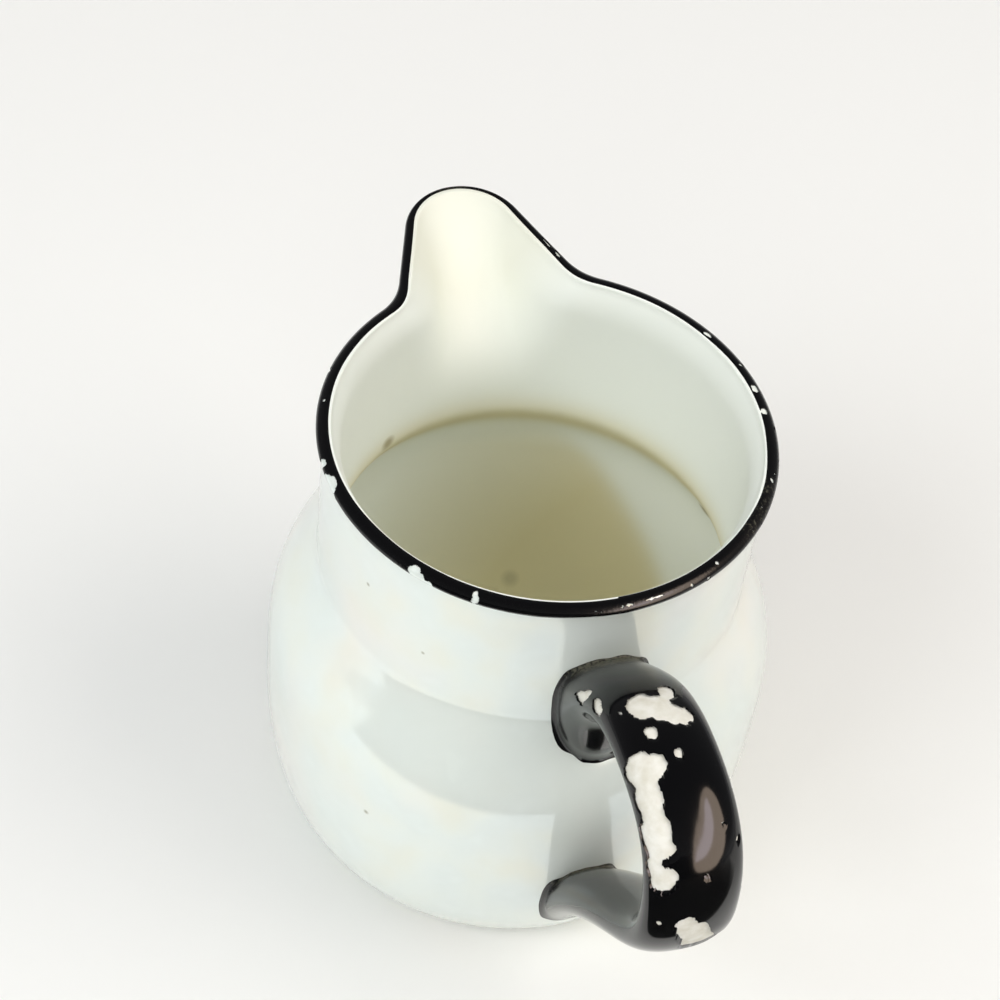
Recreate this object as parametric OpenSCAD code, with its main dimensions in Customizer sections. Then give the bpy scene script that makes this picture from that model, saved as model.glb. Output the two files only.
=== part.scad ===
// Cream jug: a slip-cast ceramic body with a collar neck and a beak spout, a strap handle
// luted on with slip, and black enamel on the lip and on the strap.
// Millimetres. The origin is the centre of the foot, Z is up, the spout points along +X.

/* [Body] */
// Height of the lip above the table
rim_height = 75; // [68:1:90]
// Greatest diameter of the belly
belly_d = 70; // [64:1:84]
// Height of the widest part of the belly
belly_height = 28; // [22:1:34]
// Diameter of the foot on the table
foot_d = 48; // [40:1:56]
// Outside diameter of the collar neck
neck_d = 57.7; // [50:0.1:62]
// Length of the collar neck, from the end of the shoulder to the lip
collar_length = 23; // [18:1:28]
// Wall thickness of the casting
wall = 2.4; // [1.8:0.1:3.5]
// Thickness of the floor of the jug
floor_t = 3.6; // [2.6:0.1:6]
// Width of the foot ring
foot_ring = 3.5; // [2:0.5:6]
// Depth of the recess inside the foot ring
foot_recess = 1.2; // [0.5:0.1:2]

/* [Lip] */
// Width of the rounded lip
lip_w = 1.6; // [1:0.1:2.2]
// Height of the rounding of the lip
lip_drop = 0.85; // [0.5:0.05:1.5]
// How far the lip stands out from the neck
lip_flare = 0.75; // [0.3:0.05:1.5]
// Height of the stretch below the lip that turns outwards
flare_height = 5; // [3:0.5:8]

/* [Spout] */
// How far the spout reaches out from the lip
spout_reach = 17; // [10:0.5:22]
// Height of the foot of the spout above the shoulder
spout_foot = 0.5; // [0:0.5:6]
// Inside radius of the tip of the spout
tip_r = 6.9; // [5:0.1:9]
// Angle between each side of the spout and its centre line
spout_taper = 19.5; // [12:0.5:28]
// Radius where the spout turns into the round lip
spout_fillet = 2.4; // [1:0.1:4]
// How much wider that radius grows down the neck
spout_blend = 8; // [2:0.5:12]
// Rise of the tip above the lip
tip_rise = 0.6; // [0:0.1:3]

/* [Handle] */
// How far the centre line of the strap stands out from the belly at its back
handle_out = 26.2; // [20:0.1:34]
// Depth of the back of the strap below the lip
back_drop = 18.4; // [15:0.1:24]
// Depth of the crown of the strap's centre line below the lip
crown_drop = 4.8; // [1:0.1:8]
// Depth of the upper joint below the lip
upper_joint_drop = 19.6; // [16:0.1:22]
// Depth of the lower joint below the widest part of the belly
lower_joint_drop = 8.2; // [4:0.1:12]
// Width of the strap
strap_w = 11.5; // [9:0.1:14]
// Thickness of the strap
strap_t = 5.5; // [4:0.1:7]
// Height of the flared upper end of the strap, inside the wall
root_t = 17.6; // [10:0.1:20]
// Width of the upper end of the strap
root_w = 10.2; // [8:0.1:14]
// Width of the lower end of the strap
tail_w = 9; // [7:0.1:12]
// Thickness of the bed of slip under each end of the strap
lute_t = 1.2; // [0.6:0.1:2]

/* [Enamel] */
// Thickness of the black enamel
enamel_t = 0.3; // [0.2:0.05:0.5]

/* [Hidden] */

glaze_colour = "#eef0e6";
clay_colour = "#e6dfcf";
slip_colour = "#d8cfba";
enamel_colour = "#16171a";

// Facets: steps round the spout, round the rest, and along the profiles
spout_steps = 26;
round_steps = 40;
bowl_steps = 8;
shoulder_steps = 9;
neck_steps = 8;
lip_steps = 4;
strap_steps = 12;
section_steps = 20;
revolve_fn = 96;

// Half angle of the part of the neck that the spout takes up
spout_sector = 38;
// Exponents of the bowl below the widest part and of the strap's section
bowl_power = 2.5;
strap_power = 2.3;
// Exponents of the shoulder: of its round on the belly and of its hollow at the collar
round_power = 3.8;
hollow_power = 2;
// How fast the spout opens towards the lip
spout_power = 1.3;
// Stations of the strap's centre line, as shares of the way out to its back
crown_share = 0.574;
// Reach of the strap's tangents, as shares of the distance between stations
root_pull_share = 0.25;
crown_in_share = 0.467;
crown_out_share = 0.47;
back_in_share = 0.487;
back_out_share = 0.193;
tail_pull_share = 0.592;
// Stretch of the strap that flares at the root, and narrows at the tail, as shares of its length
root_share = 0.233;
tail_share = 0.3;
// Slope of the strap where it leaves the neck, and where it runs down to the belly
root_rise = 40;
tail_fall = 64;
// How deep the strap's centre line runs into the wall at each end before it is cut to it
root_sink = 4.2;
tail_sink = 12;
overrun = 1;

belly_r = belly_d / 2;
foot_r = foot_d / 2;
neck_r = neck_d / 2;
shoulder_z = rim_height - collar_length;
spout_depth = collar_length - spout_foot;
lip_out_r = neck_r + lip_flare;
lip_in_r = lip_out_r - lip_w;
handle_reach = belly_r + handle_out;
upper_joint = rim_height - upper_joint_drop;
lower_joint = belly_height - lower_joint_drop;

// Smooth maximum: the larger of a and b, blended where they differ by less than k
function soft_max(a, b, k) =
    let (h = max(k - abs(a - b), 0) / k) max(a, b) + h * h * k / 4;

// Quarter of a superellipse: how far out it is at share t of its height
function bulge(t, power) = pow(max(1 - pow(min(max(t, 0), 1), power), 0), 1 / power);

// Share of the turn-out below the lip at height z
function turn_out(z) = pow(max(z - rim_height + flare_height, 0) / flare_height, 2);

// Radius of the neck at height z, outside and inside
function neck_at(z, inset) = inset > 0
    ? neck_r - inset + (lip_in_r - neck_r + inset) * turn_out(z)
    : neck_r + lip_flare * turn_out(z);

// Radius of the bowl at height z, below the widest part, with the floor at height base
function bowl_at(z, inset, base) = foot_r - inset
    + (belly_r - foot_r) * bulge((belly_height - z) / (belly_height - base), bowl_power);

// Height of the shoulder, from the widest part to the collar, for a wall set in by inset
function shoulder_height(inset) = shoulder_z - inset / 2 - belly_height;

// What the shoulder adds to the neck at height z: all of the bulge at its foot, none at the collar
function shoulder_at(z, inset) =
    let (t = min(max((z - belly_height) / shoulder_height(inset), 0), 1))
    (belly_r - neck_r) * pow(1 - pow(t, round_power), hollow_power);

// Radius of the jug at height z away from the spout
function jug_at(z, inset = 0, base = 0) = z < belly_height
    ? bowl_at(z, inset, base)
    : neck_at(z, inset) + shoulder_at(z, inset);

// Heights at which the walls are drawn: bowl, shoulder, then neck
function bowl_levels(base) = [for (i = [0:bowl_steps])
    belly_height - (belly_height - base) * pow(cos(90 * i / bowl_steps), 2 / bowl_power)];
function shoulder_levels(inset) = [for (i = [1:shoulder_steps])
    belly_height + shoulder_height(inset) * i / shoulder_steps];
function neck_levels(top) = [for (i = [1:neck_steps])
    shoulder_z + (top - shoulder_z) * i / neck_steps];
function wall_levels(inset, base, top) =
    concat(bowl_levels(base), shoulder_levels(inset), neck_levels(top));

// Share of the spout that is open at height z
function spout_open(z) =
    pow(min(max(z - rim_height + spout_depth, 0) / spout_depth, 1), spout_power);

// Distance from the axis to the side of a round-nosed wedge whose nose is a circle at c
function wedge_at(angle, c, nose_r) = let (
    a = abs(angle),
    touch = atan2(nose_r * cos(spout_taper), c + nose_r * sin(spout_taper)))
    a < touch ? c * cos(a) + sqrt(max(nose_r * nose_r - pow(c * sin(a), 2), 0))
              : (c * sin(spout_taper) + nose_r) / sin(min(spout_taper + a, 90));

// Plan of the neck: a circle of radius r with the wedge of the spout run into it
function plan_at(angle, r, open) = let (
    turn_r = spout_fillet + spout_blend * (1 - open),
    nose_r = max(tip_r + r - lip_in_r, tip_r / 2),
    c = r - nose_r - turn_r + open * (spout_reach + turn_r))
    soft_max(r, wedge_at(angle, c, nose_r), turn_r);

// Angles of the plan, closer together at the spout
angles = concat(
    [for (i = [0:spout_steps - 1]) spout_sector * (2 * i / spout_steps - 1)],
    [for (i = [0:round_steps - 1]) spout_sector + (360 - 2 * spout_sector) * i / round_steps]);

// One ring of the jug: radius r away from the spout, at height z
function ring(r, z) = let (open = spout_open(z)) [for (angle = angles) let (
    turn = angle > 180 ? angle - 360 : angle,
    p = plan_at(turn, r, open),
    rise = tip_rise * open * pow((p - r) / spout_reach, 2))
    [p * cos(turn), p * sin(turn), z + rise]];

// Point of the rounded lip at angle a from its crest, as radius and height
function lip_point(a, grow = 0) = [
    lip_in_r + lip_w * sin(a) + grow * sin(a),
    rim_height - lip_drop * (1 - cos(a)) + grow * cos(a)];
lip_angles = [for (i = [0:lip_steps]) 90 * i / lip_steps];

outer_rings = [for (z = wall_levels(0, 0, rim_height - lip_drop - lip_w / 2)) ring(jug_at(z), z)];
lip_rings = [for (i = [0:lip_steps]) let (q = lip_point(lip_angles[lip_steps - i])) ring(q[0], q[1])];
inner_rings = let (
    levels = wall_levels(wall, floor_t, rim_height - lip_drop / 2),
    last = len(levels) - 1)
    [for (i = [0:last]) ring(jug_at(levels[last - i], wall, floor_t), levels[last - i])];

// Triangles of a skin over rings of equal length, with flat ends unless it is a closed loop
function skin_faces(rows, columns, loop = false) = concat(
    [for (i = [0:rows - (loop ? 1 : 2)], j = [0:columns - 1]) let (
        k = (j + 1) % columns, low = i * columns, high = ((i + 1) % rows) * columns)
        each [[low + j, high + j, high + k], [low + j, high + k, low + k]]],
    loop ? [] : [
        [for (j = [0:columns - 1]) j],
        [for (j = [0:columns - 1]) rows * columns - 1 - j]]);

module skin(rings, loop = false) {
    polyhedron(points = [for (r = rings) each r],
               faces = skin_faces(len(rings), len(rings[0]), loop),
               convexity = 8);
}

// Solid of revolution that fills the jug away from the spout, grown outwards
module jug_form(grow) {
    levels = wall_levels(0, 0, rim_height);
    rotate_extrude($fn = revolve_fn)
        polygon(concat([[0, 0]], [for (z = levels) [jug_at(z) + grow, z]], [[0, rim_height]]));
}

// Stations of the strap's centre line, in the plane of the handle
root_point = [-neck_r + root_sink * cos(root_rise), upper_joint - root_sink * sin(root_rise)];
crown_point = [-neck_r - crown_share * (handle_reach - neck_r), rim_height - crown_drop];
back_point = [-handle_reach, rim_height - back_drop];
tail_point = [-belly_r + tail_sink * cos(tail_fall), lower_joint - tail_sink * sin(tail_fall)];

function gap(p, q) = norm(q - p);
function bezier(p, t) = p[0] * pow(1 - t, 3) + 3 * p[1] * pow(1 - t, 2) * t
    + 3 * p[2] * (1 - t) * t * t + p[3] * pow(t, 3);

root_curve = [
    root_point,
    root_point + root_pull_share * gap(root_point, crown_point) * [-cos(root_rise), sin(root_rise)],
    crown_point + crown_in_share * gap(root_point, crown_point) * [1, 0],
    crown_point];
crown_curve = [
    crown_point,
    crown_point - crown_out_share * gap(crown_point, back_point) * [1, 0],
    back_point + back_in_share * gap(crown_point, back_point) * [0, 1],
    back_point];
tail_curve = [
    back_point,
    back_point - back_out_share * gap(back_point, tail_point) * [0, 1],
    tail_point + tail_pull_share * gap(back_point, tail_point) * [-cos(tail_fall), sin(tail_fall)],
    tail_point];

spine = concat(
    [for (i = [0:strap_steps - 1]) bezier(root_curve, i / strap_steps)],
    [for (i = [0:strap_steps - 1]) bezier(crown_curve, i / strap_steps)],
    [for (i = [0:strap_steps]) bezier(tail_curve, i / strap_steps)]);
spine_last = len(spine) - 1;

// Width and thickness of the strap at share u of its stations
function fade(u, share) = pow(max(1 - u / share, 0), 2);
function width_at(u) = strap_w + (root_w - strap_w) * fade(u, root_share)
    + (tail_w - strap_w) * fade(1 - u, tail_share);
function thickness_at(u) = strap_t + (root_t - strap_t) * fade(u, root_share);
function power_of(x, power) = sign(x) * pow(abs(x), power);

// One section of the strap across its centre line, grown outwards by the enamel
function section(i, grow) = let (
    ahead = spine[min(i + 1, spine_last)] - spine[max(i - 1, 0)],
    across = [-ahead[1], ahead[0]] / norm(ahead),
    half_w = width_at(i / spine_last) / 2 + grow,
    half_t = thickness_at(i / spine_last) / 2 + grow)
    [for (j = [0:section_steps - 1]) let (
        a = 360 * (j + 1 / 2) / section_steps,
        side = half_w * power_of(cos(a), 2 / strap_power),
        off = half_t * power_of(sin(a), 2 / strap_power))
        [spine[i][0] + across[0] * off, side, spine[i][1] + across[1] * off]];

module strap(first, last, grow) {
    skin([for (i = [first:last]) section(i, grow)]);
}

// Bed of slip between the wall and the strap, for one end of the strap
module lute(first, last) {
    intersection() {
        strap(first, last, 0);
        difference() {
            jug_form(lute_t);
            jug_form(0);
        }
    }
}

module jug_body() {
    color(glaze_colour)
        difference() {
            skin(concat(outer_rings, lip_rings, inner_rings));
            translate([0, 0, -overrun])
                cylinder(r = foot_r - foot_ring, h = foot_recess + overrun, $fn = revolve_fn);
        }
}

module handle() {
    color(clay_colour)
        difference() {
            strap(0, spine_last, 0);
            jug_form(lute_t);
        }
}

module upper_handle_lute() {
    color(slip_colour) lute(0, strap_steps);
}

module lower_handle_lute() {
    color(slip_colour) lute(2 * strap_steps, spine_last);
}

module rim_enamel() {
    under = [for (a = lip_angles) let (q = lip_point(a)) ring(q[0], q[1])];
    over = [for (i = [0:lip_steps]) let (q = lip_point(lip_angles[lip_steps - i], enamel_t))
        ring(q[0], q[1])];
    color(enamel_colour) skin(concat(over, under), loop = true);
}

module handle_enamel() {
    over = [for (i = [0:spine_last]) section(i, enamel_t)];
    under = [for (i = [0:spine_last]) section(spine_last - i, 0)];
    color(enamel_colour)
        difference() {
            skin(concat(over, under), loop = true);
            jug_form(0);
        }
}

jug_body();
handle();
upper_handle_lute();
lower_handle_lute();
rim_enamel();
handle_enamel();
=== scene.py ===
# %% [markdown]
# # A cream jug with a black rim line and a black strap handle
# The jug is a small slip-cast piece of earthenware: a round belly, a collar neck, a beak
# spout drawn out of the neck and a strap handle stuck on with slip. A pearl lustre glaze
# covers it, and black enamel was brushed on the lip and on the strap in a last firing.
# The solids of the jug come in as a fixed frame. Each of them is then drawn again as a
# finer surface from the same sizes, because glaze and enamel show every facet.

# %% Load the solids as a fixed frame
import math

import bpy
import numpy as np
from mathutils import Matrix, Quaternion, Vector


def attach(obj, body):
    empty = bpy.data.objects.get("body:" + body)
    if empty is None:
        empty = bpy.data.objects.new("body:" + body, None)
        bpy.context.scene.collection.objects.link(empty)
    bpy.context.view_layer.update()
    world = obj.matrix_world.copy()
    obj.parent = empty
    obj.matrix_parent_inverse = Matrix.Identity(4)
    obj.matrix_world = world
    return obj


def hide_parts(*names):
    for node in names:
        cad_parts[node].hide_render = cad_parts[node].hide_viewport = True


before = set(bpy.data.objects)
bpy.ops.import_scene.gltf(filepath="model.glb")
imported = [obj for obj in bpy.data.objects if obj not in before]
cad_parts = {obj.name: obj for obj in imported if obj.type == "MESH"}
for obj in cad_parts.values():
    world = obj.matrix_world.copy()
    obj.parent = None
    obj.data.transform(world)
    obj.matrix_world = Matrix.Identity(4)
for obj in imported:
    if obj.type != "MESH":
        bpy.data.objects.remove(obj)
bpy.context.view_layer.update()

print("solids:", ", ".join(sorted(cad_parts)))

# %% [markdown]
# ## The sizes
# A potter would note these on the drawing of the mould. They are the sizes of the solids,
# in millimetres, so that every new surface lies where the solid lies. Blender works in
# metres, so the points are multiplied by MM once, when a mesh is made.

# %% Sizes of the jug in millimetres
MM = 0.001

rim_height = 75.0
belly_r = 35.0
belly_height = 28.0
foot_r = 24.0
neck_r = 28.85
collar_length = 23.0
wall = 2.4
floor_t = 3.6
foot_ring = 3.5
foot_recess = 1.2

lip_w = 1.6
lip_drop = 0.85
lip_flare = 0.75
flare_height = 5.0

spout_reach = 17.0
spout_foot = 0.5
tip_r = 6.9
spout_taper = math.radians(19.5)
spout_fillet = 2.4
spout_blend = 8.0
tip_rise = 0.6

enamel_t = 0.3
lute_t = 1.2

shoulder_z = rim_height - collar_length
spout_depth = collar_length - spout_foot
lip_out_r = neck_r + lip_flare
lip_in_r = lip_out_r - lip_w
bowl_power, round_power, hollow_power, spout_power = 2.5, 3.8, 2.0, 1.3

# %% [markdown]
# ## The form of the body
# A jug like this is thrown or turned as a model first, so away from the spout it is a solid
# of revolution. It could be spun from a traced outline. A formula is better here: the
# bowl is a superellipse, the collar is a plain tube that turns out at the lip, and between
# them one power of another makes a shoulder that is round below and hollow above.

# %% Profile of the jug
def bulge(t, power):
    """Quarter of a superellipse: (1 - t^power)^(1/power), with t held between 0 and 1."""
    return np.maximum(1 - np.clip(t, 0, 1) ** power, 0) ** (1 / power)


def jug_radius(z, inset=0.0, base=0.0):
    """Radius at height z away from the spout, for the outside or for a wall set in by inset.

    Below the widest part it is the bowl. Above it, it is the collar plus a shoulder that
    falls from the whole bulge to nothing as (1 - t^3.8)^2, with t the share of its height.
    The collar's last few millimetres turn out with the square of the height.
    """
    bowl = foot_r + (belly_r - foot_r) * bulge((belly_height - z) / (belly_height - base), bowl_power)
    t = np.clip((z - belly_height) / (shoulder_z - inset / 2 - belly_height), 0, 1)
    shoulder = (belly_r - neck_r) * (1 - t**round_power) ** hollow_power
    turn_out = (np.maximum(z - rim_height + flare_height, 0) / flare_height) ** 2
    collar = neck_r + (lip_in_r - neck_r + inset if inset else lip_flare) * turn_out
    return np.where(z < belly_height, bowl, collar + shoulder) - inset


print("widest radius %.2f mm, neck %.2f mm" % (jug_radius(belly_height), jug_radius(60.0)))

# %% [markdown]
# ## The beak of the spout
# In plan the spout is a wedge with a round nose. It grows out of the collar from the
# shoulder upwards, and its sides run into the round lip with a small radius at the top and a
# wide one below. So each height has its own plan: the soft maximum of a circle and a wedge.

# %% Plan of the jug with its spout
def soft_max(a, b, k):
    """The larger of a and b; where they differ by less than k, a parabola rounds the corner."""
    near = np.maximum(k - np.abs(a - b), 0) / k
    return np.maximum(a, b) + near**2 * k / 4


def plan_radius(angle, r, opening):
    """Distance from the axis to the wall in direction angle, where the round part has radius r.

    The wedge is given in polar form: its nose is a circle round a point on the spout's
    centre line, and past the touching angle its side is a straight line at the taper.
    """
    side = np.abs(angle)
    turn_r = spout_fillet + spout_blend * (1 - opening)
    nose_r = np.maximum(tip_r + r - lip_in_r, tip_r / 2)
    c = r - nose_r - turn_r + opening * (spout_reach + turn_r)
    touch = np.arctan2(nose_r * np.cos(spout_taper), c + nose_r * np.sin(spout_taper))
    nose = c * np.cos(side) + np.sqrt(np.maximum(nose_r**2 - (c * np.sin(side)) ** 2, 0))
    flank = (c * np.sin(spout_taper) + nose_r) / np.sin(np.minimum(spout_taper + side, math.pi / 2))
    return soft_max(r, np.where(side < touch, nose, flank), turn_r)


def ring(angle, r, z):
    """Points of the jug at radius r and height z, carried out along the spout and raised at its tip."""
    opening = (np.clip(z - rim_height + spout_depth, 0, spout_depth) / spout_depth) ** spout_power
    p = np.where(opening > 0, plan_radius(angle, r, opening), r)
    rise = tip_rise * opening * ((p - r) / spout_reach) ** 2
    return np.stack([p * np.cos(angle), p * np.sin(angle), z + rise + 0 * angle], axis=-1)


def column_angles(spout_columns, round_columns):
    """Angles round the jug from -180 to 180 degrees, closer together at the spout."""
    sector = math.radians(38)
    back = np.linspace(sector, math.pi, round_columns // 2, endpoint=False)
    beak = np.linspace(-sector, sector, spout_columns, endpoint=False)
    return np.concatenate([-np.append(back[1:], math.pi)[::-1], beak, back])


print("reach of the spout: %.2f mm" % ring(np.zeros(1), lip_in_r, rim_height)[0, 0])

# %% [markdown]
# ## The lip
# The lip is a rounded bead that falls away to the outside. The black line is painted on
# this bead, so body and enamel share its outline. It is three quarter-ellipses, and the
# distance along it, counted from the crest, places everything that sits on the lip.

# %% Outline of the lip
lip_in_round_w = 0.25
lip_in_round_h = lip_drop / 2
lip_under_h = lip_w / 2
lip_under_r = jug_radius(rim_height - lip_drop - lip_under_h)

quarter = np.linspace(0, math.pi / 2, 25)
lip_r = np.concatenate([
    lip_in_r - lip_in_round_w * np.sin(quarter[:0:-1]),
    lip_in_r + lip_w * np.sin(quarter),
    lip_out_r - (lip_out_r - lip_under_r) * (1 - np.cos(quarter[1:]))])
lip_z = np.concatenate([
    rim_height - lip_in_round_h * (1 - np.cos(quarter[:0:-1])),
    rim_height - lip_drop * (1 - np.cos(quarter)),
    rim_height - lip_drop - lip_under_h * np.sin(quarter[1:])])
lip_run = np.concatenate([[0], np.cumsum(np.hypot(np.diff(lip_r), np.diff(lip_z)))])
lip_run -= lip_run[len(quarter) - 1]


def lip_point(run, lift=0.0):
    """Radius and height of the lip at distance run from its crest, lifted off along its normal."""
    out_r, out_z = -np.gradient(lip_z, lip_run), np.gradient(lip_r, lip_run)
    r = np.interp(run, lip_run, lip_r) + lift * np.interp(run, lip_run, out_r)
    z = np.interp(run, lip_run, lip_z) + lift * np.interp(run, lip_run, out_z)
    return r, z


print("the lip's outline runs from %.2f to %.2f mm" % (lip_run[0], lip_run[-1]))

# %% [markdown]
# ## From arrays to a mesh
# Every piece here is a grid of points: rows along one parameter, columns round in a ring.
# One function numbers the quads of such a grid, and one puts points and faces into a mesh.
# The sign of the enclosed volume tells whether the faces point outwards, so no piece can
# come out inside out.

# %% Mesh helpers
def ring_quads(rows, columns):
    """Corner numbers of the quads of a grid whose columns close into a ring."""
    low = np.arange(rows - 1)[:, None] * columns
    j = np.arange(columns)[None]
    k = (j + 1) % columns
    return np.stack([low + j, low + k, low + columns + k, low + columns + j], -1).reshape(-1, 4)


def end_fan(row, columns, pole):
    """Triangles from the ring that starts at corner number row to one closing point."""
    j = np.arange(columns)
    return np.stack([row + (j + 1) % columns, row + j, np.full(columns, pole)], -1)


def enclosed_volume(points, triangles):
    """Sum of the tetrahedra from the origin to each triangle, in cubic millimetres."""
    a, b, c = (points[triangles[:, i]] for i in range(3))
    return np.einsum("ij,ij->i", a, np.cross(b, c)).sum() / 6


def make_piece(name, points, quads, triangles=None, sharp=40, **marks):
    """Make an object from points in millimetres; marks are numbers kept for each point."""
    triangles = np.zeros((0, 3), int) if triangles is None else triangles
    halves = np.concatenate([quads[:, :3], quads[:, [0, 2, 3]], triangles])
    volume = enclosed_volume(points, halves)
    if volume < 0:
        quads, triangles = quads[:, ::-1], triangles[:, ::-1]
    mesh = bpy.data.meshes.new(name)
    mesh.from_pydata(points * MM, [], quads.tolist() + triangles.tolist())
    for mark, values in marks.items():
        mesh.attributes.new(mark, "FLOAT", "POINT").data.foreach_set("value", values.astype(np.float32))
    mesh.shade_smooth()
    mesh.set_sharp_from_angle(angle=math.radians(sharp))
    mesh.validate()
    piece = bpy.data.objects.new(name, mesh)
    bpy.context.scene.collection.objects.link(piece)
    print("%s: %d points, %d triangles, %.0f cubic mm" % (name, len(points), len(halves), abs(volume)))
    return piece


def stand_for(piece, node, material):
    """Let a piece take the place of a solid: it rides on the body and carries the finish."""
    piece.data.materials.append(material)
    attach(piece, "root")
    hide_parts(node)


# %% [markdown]
# ## Colours and nodes
# Colours are written as they look on a screen, in hex, and one function turns them into
# the linear values that a shader needs. One more adds a node: its properties by name, and
# its inputs as numbers or as links from other nodes.

# %% Colour and node helpers
def linear(code):
    """Linear red, green, blue and alpha of an sRGB hex colour."""
    srgb = np.array([int(code[i : i + 2], 16) for i in (1, 3, 5)]) / 255
    light = np.where(srgb <= 0.04045, srgb / 12.92, ((srgb + 0.055) / 1.055) ** 2.4)
    return (*light.tolist(), 1.0)


def add_node(tree, kind, inputs=None, **properties):
    """Add a node; inputs maps a socket's name or number to a value or to another socket."""
    node = tree.nodes.new(kind)
    for name, value in properties.items():
        setattr(node, name, value)
    for key, value in (inputs or {}).items():
        if isinstance(value, bpy.types.NodeSocket):
            tree.links.new(value, node.inputs[key])
        else:
            node.inputs[key].default_value = value
    return node


def new_material(name):
    """A material with an empty node tree, and the tree."""
    material = bpy.data.materials.new(name)
    material.use_nodes = True
    material.node_tree.nodes.clear()
    return material, material.node_tree


def per_mm(size):
    """Texture scale that gives a pattern of that size in millimetres on Object coordinates."""
    return 1 / (size * MM)


# %% [markdown]
# ## Pearl lustre glaze
# Mother-of-pearl lustre is a film of metal oxide, thinner than a wavelength, fired on a
# clear glaze over white clay. The eye sees a white that is a little green, a strong soft
# reflection, and pastel tints that wander with the thickness of the film. The shader's
# own thin film gives the tints. The film is on the outside only. The inside is plain white
# glaze, dulled by use and a little lighter than outside as painted light, with a cream
# stain mixed with painted shade and a few spots.

# %% Material of the body
# Spots: x, y, z and radius in millimetres, and a colour
glaze_spots = [
    (22.5, 14.0, 51.1, 1.5, "#9A8E63"),
    (8.0, -29.6, 42.3, 1.7, "#978A5C"),
    (27.7, -9.7, 8.3, 1.7, "#BDB68F"),
    (-11.6, 26.4, 64.6, 0.4, "#9C9C84"),
    (-19.6, 21.1, 59.2, 0.35, "#A3A38C"),
    (-21.7, 27.5, 28.4, 0.5, "#8E8E78")]


def pearl_lustre_glaze():
    """White clay under glaze: a lustre film outside; inside a dull white, lighter as painted light, with a
    stain and painted shade.
    """
    material, tree = new_material("pearl lustre glaze, fired on cast earthenware")
    where = add_node(tree, "ShaderNodeTexCoord").outputs["Object"]
    drift = add_node(tree, "ShaderNodeTexNoise", {"Vector": where, "Scale": per_mm(26.0), "Detail": 2.0})
    tints = add_node(tree, "ShaderNodeValToRGB", {"Fac": drift.outputs["Fac"]})
    ramp = tints.color_ramp
    ramp.elements[0].position, ramp.elements[0].color = 0.3, linear("#EFF6F1")
    ramp.elements[1].position, ramp.elements[1].color = 0.7, linear("#F5F5EE")
    ramp.elements.new(0.5).color = linear("#F0F7F0")
    stain = add_node(tree, "ShaderNodeAttribute", attribute_name="cream_stain")
    inside = add_node(tree, "ShaderNodeAttribute", attribute_name="inside")
    # Inside, a plain white a little lighter than outside: painted light where little light reaches in.
    white = add_node(tree, "ShaderNodeMix", {
        0: inside.outputs["Fac"], 6: tints.outputs["Color"], 7: linear("#F7FBF4")}, data_type="RGBA")
    # Inside: a cream stain mixed with painted shade.
    stained_and_shaded = add_node(tree, "ShaderNodeMix", {
        0: stain.outputs["Fac"], 6: white.outputs[2], 7: linear("#DED5AC")}, data_type="RGBA")
    spotted = stained_and_shaded.outputs[2]
    for *place, radius, code in glaze_spots:
        far = add_node(tree, "ShaderNodeVectorMath", {
            0: where, 1: [value * MM for value in place]}, operation="DISTANCE")
        spot = add_node(tree, "ShaderNodeMapRange", {
            "Value": far.outputs["Value"], "From Min": 0.3 * radius * MM, "From Max": radius * MM,
            "To Min": 0.75, "To Max": 0.0})
        spotted = add_node(tree, "ShaderNodeMix", {
            0: spot.outputs["Result"], 6: spotted, 7: linear(code)}, data_type="RGBA").outputs[2]
    gloss = add_node(tree, "ShaderNodeMapRange", {
        "Value": inside.outputs["Fac"], "To Min": 0.12, "To Max": 0.6})
    film = add_node(tree, "ShaderNodeTexNoise", {"Vector": where, "Scale": per_mm(7.0), "Detail": 2.0})
    film_nm = add_node(tree, "ShaderNodeMapRange", {
        "Value": film.outputs["Fac"], "From Min": 0.3, "From Max": 0.7, "To Min": 45.0, "To Max": 115.0})
    lustred = add_node(tree, "ShaderNodeMapRange", {
        "Value": inside.outputs["Fac"], "To Min": film_nm.outputs["Result"], "To Max": 0.0})
    peel = add_node(tree, "ShaderNodeTexNoise", {"Vector": where, "Scale": per_mm(5.0), "Detail": 1.0})
    ripple = add_node(tree, "ShaderNodeBump", {
        "Height": peel.outputs["Fac"], "Strength": 0.06, "Distance": 0.3 * MM})
    shader = add_node(tree, "ShaderNodeBsdfPrincipled", {
        "Base Color": spotted, "Roughness": gloss.outputs["Result"], "IOR": 1.5,
        "Thin Film Thickness": lustred.outputs["Result"], "Thin Film IOR": 1.8,
        "Normal": ripple.outputs["Normal"]})
    add_node(tree, "ShaderNodeOutputMaterial", {"Surface": shader.outputs["BSDF"]})
    return material


# %% [markdown]
# ## The body
# The real body is cast in one piece, so it is one closed surface here too. A path runs from
# the middle of the underside out to the foot ring, up the outside, over the lip, down the
# inside and in to the middle of the floor. Each point of the path is a ring round the jug.
# The stain and painted shade could be a picture. They are a number kept at each point
# instead, because they follow the form: a cream tide at the shoulder mixed with painted
# shade, darker towards the floor, and a painted shadow of the rim with a slanting edge.

# %% The glazed body
def wall_levels(inset, base, top, steps):
    """Heights of the rows of a wall: eased into the bowl's floor, then even up to the lip."""
    turn = np.linspace(0, math.pi / 2, steps)
    bowl = belly_height - (belly_height - base) * np.cos(turn) ** (2 / bowl_power)
    shoulder = np.linspace(belly_height, shoulder_z - inset / 2, steps)
    neck = np.linspace(shoulder[-1], top, steps)
    return np.concatenate([bowl, shoulder[1:], neck[1:]])


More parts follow.
